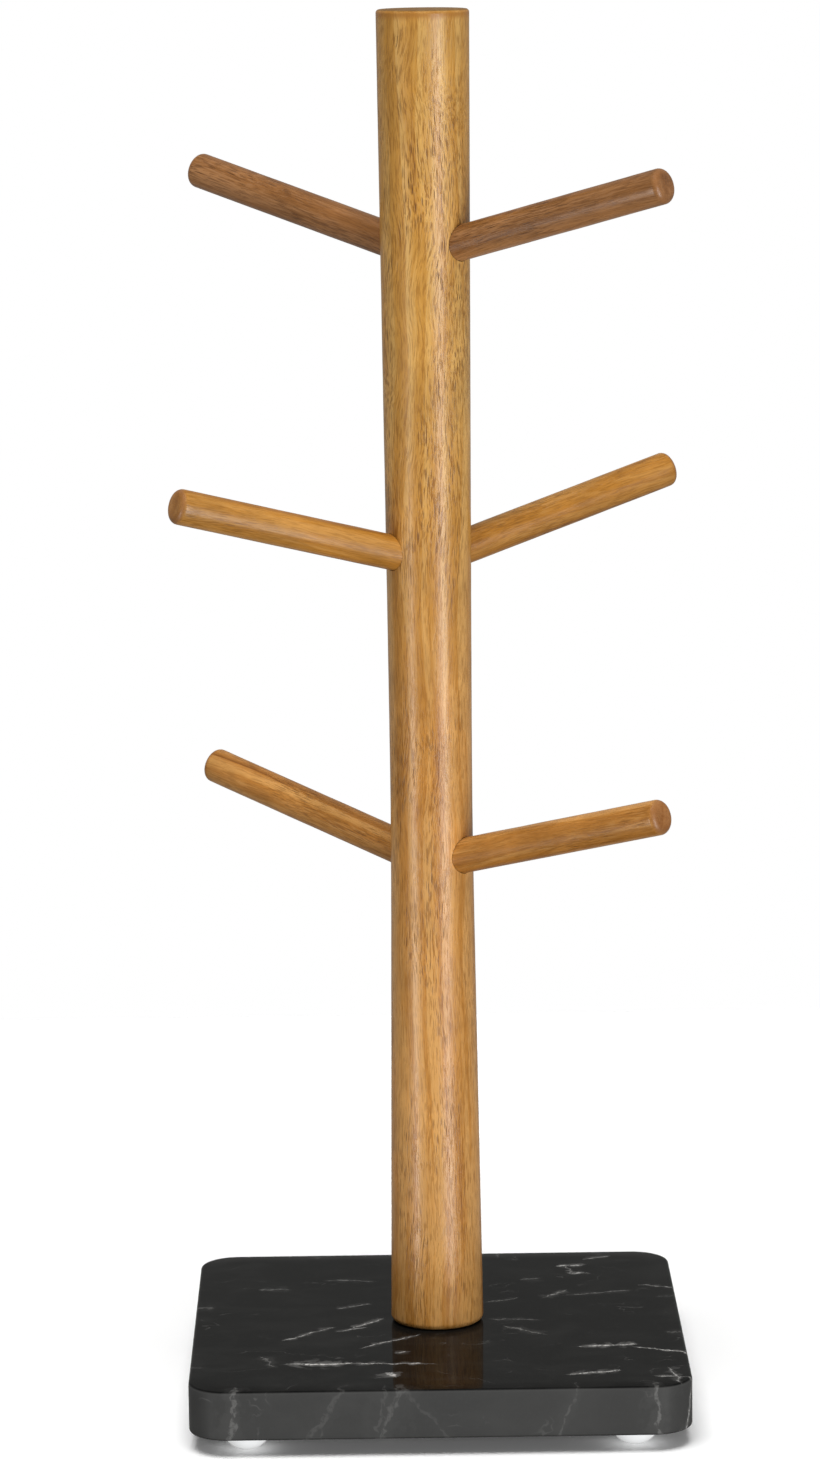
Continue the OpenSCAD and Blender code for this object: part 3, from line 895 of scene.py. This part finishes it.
def makePost(settings):
    low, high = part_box("post")
    height = high.z - low.z
    topR, footR = settings["topRadius"], settings["footRadius"]
    topRound, footRound = settings["topRound"], settings["footRound"]
    profile = [(0, 0), (footR * 0.45, 0)]
    profile += arcPoints(footR - footRound, footRound, footRound, -90, 0, settings["footArcSteps"])[:-1]
    sideHeight = height - footRound - topRound
    for k in range(settings["rings"] + 1):
        z = footRound + sideHeight * k / settings["rings"]
        profile.append((postRadius(settings, z, height), z))
    topArc = arcPoints(topR - topRound, height - topRound, topRound, 0, 90, settings["topArcSteps"])
    profile += topArc[1:]
    profile += [(topR * 0.7, height), (topR * 0.35, height), (0, height)]

    def turning(turn, radius, z):
        # slow drift and fine ripple left by turning and sanding, never proud of the outline
        drift = noise.noise(Vector((math.cos(turn), math.sin(turn), z / settings["driftLength"])))
        ripple = settings["ripple"] * math.sin(z / settings["rippleLength"])
        return settings["turningMarks"] * (drift + ripple - 1 - settings["ripple"])

    edgeHeight = height / mm - settings["edgeDepth"]
    edgeTone, edgeWidth = settings["edgeTone"], settings["edgeWidth"]
    wood = makeWood("post_acacia", settings["wood"], edgeTone, edgeHeight, edgeWidth)
    piece = addPiece("post_turned", latheMesh(profile, settings["segments"], turning), wood)
    piece.location = (0, 0, low.z)

    # stepped cutters: a shallow socket for the peg, then the insert's bore
    cutters = []
    for mountName, mount in mounts.items():
        if not mountName.startswith("hang_"):
            continue
        pegNode, insertNode = mountName.replace("hang", "peg"), mountName.replace("hang", "insert")
        axis, origin = Vector(mount["axis"]).normalized(), Vector(mount["pos_m"])
        seat = spanOnAxis(pegNode, origin, axis)[0]
        depth = seat - spanOnAxis(insertNode, origin, axis)[0] + settings["cutterStep"]
        socketR = mount["dims"]["r_mm"] * mm + settings["socketGap"]
        boreR, reach = settings["insertBoreRadius"], settings["cutterReach"]
        cut = [(0, -depth), (boreR, -depth), (boreR, 0), (socketR, 0), (socketR, reach), (0, reach)]
        cutter = addPiece("cutter_" + pegNode, latheMesh(cut, settings["cutterSegments"]), wood)
        cutter.matrix_world = pointAlong(origin + axis * seat, axis)
        cutters.append(cutter)
    boreR, boreEnd, lead = (settings[k] for k in ("footBoreRadius", "footBoreDepth", "cutterLead"))
    bore = [(0, -lead), (boreR, -lead), (boreR, boreEnd), (0, boreEnd)]
    cutter = addPiece("cutter_foot", latheMesh(bore, settings["footCutterSegments"]), wood)
    cutter.location = (0, 0, low.z)
    cutters.append(cutter)
    cutAway(piece, cutters)
    piece.data.set_sharp_from_angle(angle=creaseAngle)
    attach(piece, "root")
    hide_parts("post")


makePost(postSettings)
print("post made")


# Pegs

pegSettings = {
    "endRound": 2.0 * mm,
    "endArc": (0, 84, 8),        # degrees from, degrees to, steps
    "crown": 0.12 * mm,          # how far the middle of the end face stands proud of its edge
    "crownRings": (0.8, 0.55, 0.3, 0.1),
    "innerChamfer": 0.3 * mm,
    "pilotRadius": 2.05 * mm,
    "pilotDepth": 18.5 * mm,
    "segments": 72,
    "rings": 34,
    "wobble": 0.03 * mm,
    "wobbleLength": 9.0 * mm,
    "randomSeed": 12,
    "grainSeeds": (5, 60),
    "wood": {
        "Ring Gap": 4.0, "Streaks": 1.0, "Pores": 0.95, "Figure": 1.3, "Interlock": 0.5,
        "End Tint": (0.46, 0.34, 0.36), "Calm Below": 900.0, "Wild Above": 1000.0},
    # how each pair's wood differs, from reddish at the top to ochre in the middle, and how dark its end
    # goes, partly from oil and partly as painted shade
    "pairs": {
        "top": {
            "Pale": (0.37, 0.198, 0.100), "Body": (0.255, 0.120, 0.045),
            "Deep": (0.125, 0.050, 0.017), "End Shade": 0.15},
        "middle": {
            "Pale": (0.50, 0.275, 0.090), "Body": (0.400, 0.190, 0.036),
            "Deep": (0.20, 0.078, 0.012), "End Shade": 0.35},
        "low": {
            "Pale": (0.54, 0.300, 0.110), "Body": (0.410, 0.190, 0.046),
            "Deep": (0.21, 0.080, 0.014), "End Shade": 0.7},
    },
    "edgeTone": (0.30, 0.13, 0.045),
    "edgePlace": 0.4,            # share of the end's rounding, back from the tip
    "edgeWidth": 1.0,
}


def pegProfile(settings, length, radius):
    endRound, crown, chamfer = (settings[k] for k in ("endRound", "crown", "innerChamfer"))
    pilot, pilotDepth, rings = (settings[k] for k in ("pilotRadius", "pilotDepth", "rings"))
    profile = [(0, pilotDepth), (pilot, pilotDepth), (pilot, 0), (radius - chamfer, 0), (radius, chamfer)]
    straight = length - endRound - crown - chamfer
    profile += [(radius, chamfer + straight * k / rings) for k in range(1, rings)]
    profile += arcPoints(radius - endRound, length - crown - endRound, endRound, *settings["endArc"])
    rim = profile[-1][0]
    profile += [(rim * share, length - crown * share * share) for share in settings["crownRings"]]
    return profile + [(0, length)]


def makePegs(settings):
    seeds = random.Random(settings["randomSeed"])
    for mountName, mount in mounts.items():
        if not mountName.startswith("hang_"):
            continue
        pegNode = mountName.replace("hang", "peg")
        level = mountName.split("_")[1]
        axis, origin = Vector(mount["axis"]).normalized(), Vector(mount["pos_m"])
        seat, tip = spanOnAxis(pegNode, origin, axis)
        length, radius = tip - seat, mount["dims"]["r_mm"] * mm
        seed = seeds.uniform(*settings["grainSeeds"])

        def sanding(turn, ringRadius, z, seed=seed, radius=radius):
            # the pilot hole stays round, and the rest never stands proud of the outline
            if ringRadius < settings["pilotRadius"] * 1.01:
                return 0.0
            place = Vector((math.cos(turn) + seed, math.sin(turn), z / settings["wobbleLength"]))
            return settings["wobble"] * (noise.noise(place) - 1.0) * min(1.0, ringRadius / radius)

        wood = {"Seed": seed, **settings["wood"], **settings["pairs"][level]}
        edgeHeight = (length - settings["endRound"] * settings["edgePlace"]) / mm
        edgeTone, edgeWidth = settings["edgeTone"], settings["edgeWidth"]
        material = makeWood(pegNode + "_acacia", wood, edgeTone, edgeHeight, edgeWidth)
        shape = latheMesh(pegProfile(settings, length, radius), settings["segments"], sanding)
        piece = addPiece(pegNode + "_dowel", shape, material)
        piece.matrix_world = pointAlong(origin + axis * seat, axis)
        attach(piece, "root")
        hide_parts(pegNode)


makePegs(pegSettings)
print("pegs made")


# Hardware that the frame already shapes: it keeps its meshes and gets finishes

hardwareSettings = {
    "steel": {
        "pale": (0.62, 0.63, 0.65), "dull": (0.42, 0.42, 0.43), "rough": 0.28, "metallic": 1.0},
    "brass": {
        "pale": (0.83, 0.62, 0.27), "dull": (0.55, 0.36, 0.13), "rough": 0.30, "metallic": 1.0},
    "black_rubber": {
        "pale": (0.035, 0.035, 0.036), "dull": (0.016, 0.016, 0.017), "rough": 0.72, "metallic": 0.0},
}

# what handling and age do to all three
wearSettings = {
    "rub": {"Stretch": (3.0, 3.0, 12.0), "Amount": 1.0, "Patch Size": 3.0},
    "rubRough": 0.25,
    "rubBump": 0.02 * mm,
    "tarnishStretch": (0.6, 0.6, 0.6),
    "tarnishRange": (0.4, 0.7),
}


def makeHardwareFinish(name, look, wear):
    material, tree, shader = newMaterial(name, look["pale"])
    point, _ = objectPoint(tree)
    rub = placeGroup(tree, rubMarks, {"Point": point, **wear["rub"]})
    tarnish = noiseField(tree, point, wear["tarnishStretch"], detail=4)
    tarnish = fade(tree, tarnish, *wear["tarnishRange"])
    feed(tree, shader["Base Color"], mixColor(tree, tarnish, look["pale"], look["dull"]))
    rough = maths(tree, "MULTIPLY_ADD", rub["Loss"], wear["rubRough"], look["rough"])
    feed(tree, shader["Roughness"], rough)
    shader["Metallic"].default_value = look["metallic"]
    feed(tree, shader["Normal"], bumpNormal(tree, rub["Height"], wear["rubBump"], 0.5))
    return material


def finishHardware(settings, wear):
    finishes = {}
    for slot, look in settings.items():
        finishes[slot] = makeHardwareFinish(slot + "_finish", look, wear)
    slots = {part["node"]: part["material_slot"] for part in frame["record"]["subparts"]}
    for nodeName, node in frame["nodes"].items():
        finish = finishes.get(slots[nodeName])
        if finish:
            for k in range(len(node.material_slots)):
                node.material_slots[k].material = finish


finishHardware(hardwareSettings, wearSettings)
print("hardware finished")


# Floor, light and background

studioSettings = {
    "floorSize": 0.95,
    "floor": (0.96, 0.96, 0.96),
    "floorPatches": (0.97, 0.97, 0.97),
    "patchStretch": (0.002, 0.002, 0.002),
    "floorGlow": 0.05,
    "sunStrength": 2.85,
    "sunAngle": 40.0,
    "sunTurn": (14.0, -4.0, 0.0),     # degrees from straight down
    # each softbox: name, place, what it faces, width, height, watts
    "softboxes": [
        ("right_softbox", (1.08, -1.49, -0.15), (0, 0, -0.10), 0.78, 1.5, 27.0),
        ("left_softbox", (-1.42, -1.15, -0.52), (0, 0, -0.40), 0.36, 1.0, 11.0),
    ],
    "surround": (0.17, 0.17, 0.17),
    "behind": (0.30, 0.30, 0.29),     # a dim wall behind, for the polished top to mirror
    "behindRange": (0.2, 0.8),
    "backdrop": (1.0, 1.0, 1.0),
}


def makeFloor(settings):
    half = settings["floorSize"] / 2
    bm = bmesh.new()
    bmesh.ops.create_grid(bm, x_segments=8, y_segments=8, size=half)
    material, tree, shader = newMaterial("studio_floor", settings["floor"])
    point, _ = objectPoint(tree)
    soft = noiseField(tree, point, settings["patchStretch"], detail=1)
    color = mixColor(tree, soft, settings["floor"], settings["floorPatches"])
    feed(tree, shader["Base Color"], color)
    feed(tree, shader["Emission Color"], color)
    shader["Emission Strength"].default_value = settings["floorGlow"]
    shader["Roughness"].default_value = 1.0
    shader["Specular IOR Level"].default_value = 0.0
    floor = addPiece("studio_floor", bm, material)
    floor.visible_glossy = False
    floor.visible_diffuse = False
    floor.visible_shadow = False      # the softboxes reach below the floor's level and shine past it


def makeLights(settings):
    sun = bpy.data.lights.new("soft_sky", "SUN")
    sun.energy = settings["sunStrength"]
    sun.angle = math.radians(settings["sunAngle"])
    lamp = bpy.data.objects.new("soft_sky", sun)
    scene.collection.objects.link(lamp)
    lamp.rotation_euler = tuple(math.radians(a) for a in settings["sunTurn"])
    lamp.visible_glossy = False
    for name, place, aim, width, height, watts in settings["softboxes"]:
        data = bpy.data.lights.new(name, "AREA")
        data.shape = "RECTANGLE"
        data.size, data.size_y = width, height
        data.energy = watts
        lamp = bpy.data.objects.new(name, data)
        scene.collection.objects.link(lamp)
        lamp.location = place
        lamp.rotation_euler = (Vector(aim) - Vector(place)).to_track_quat("-Z", "Y").to_euler()


def makeWorld(settings):
    world = bpy.data.worlds.new("studio")
    scene.world = world
    world.use_nodes = True
    tree = world.node_tree
    tree.nodes.clear()
    rays = tree.nodes.new("ShaderNodeLightPath")
    dim, bright, mix, out = (tree.nodes.new(k) for k in (
        "ShaderNodeBackground", "ShaderNodeBackground", "ShaderNodeMixShader", "ShaderNodeOutputWorld"))
    coords = tree.nodes.new("ShaderNodeTexCoord")
    _, back, _ = splitVector(tree, coords.outputs["Generated"])
    back = fade(tree, back, *settings["behindRange"])
    wall = mixColor(tree, back, settings["surround"], settings["behind"])
    tree.links.new(wall, dim.inputs[0])
    bright.inputs[0].default_value = (*settings["backdrop"], 1.0)
    tree.links.new(rays.outputs["Is Camera Ray"], mix.inputs[0])
    tree.links.new(dim.outputs[0], mix.inputs[1])
    tree.links.new(bright.outputs[0], mix.inputs[2])
    tree.links.new(mix.outputs[0], out.inputs[0])
    scene.view_settings.view_transform = "Standard"
    scene.view_settings.look = "None"


makeFloor(studioSettings)
makeLights(studioSettings)
makeWorld(studioSettings)
print("studio lit")
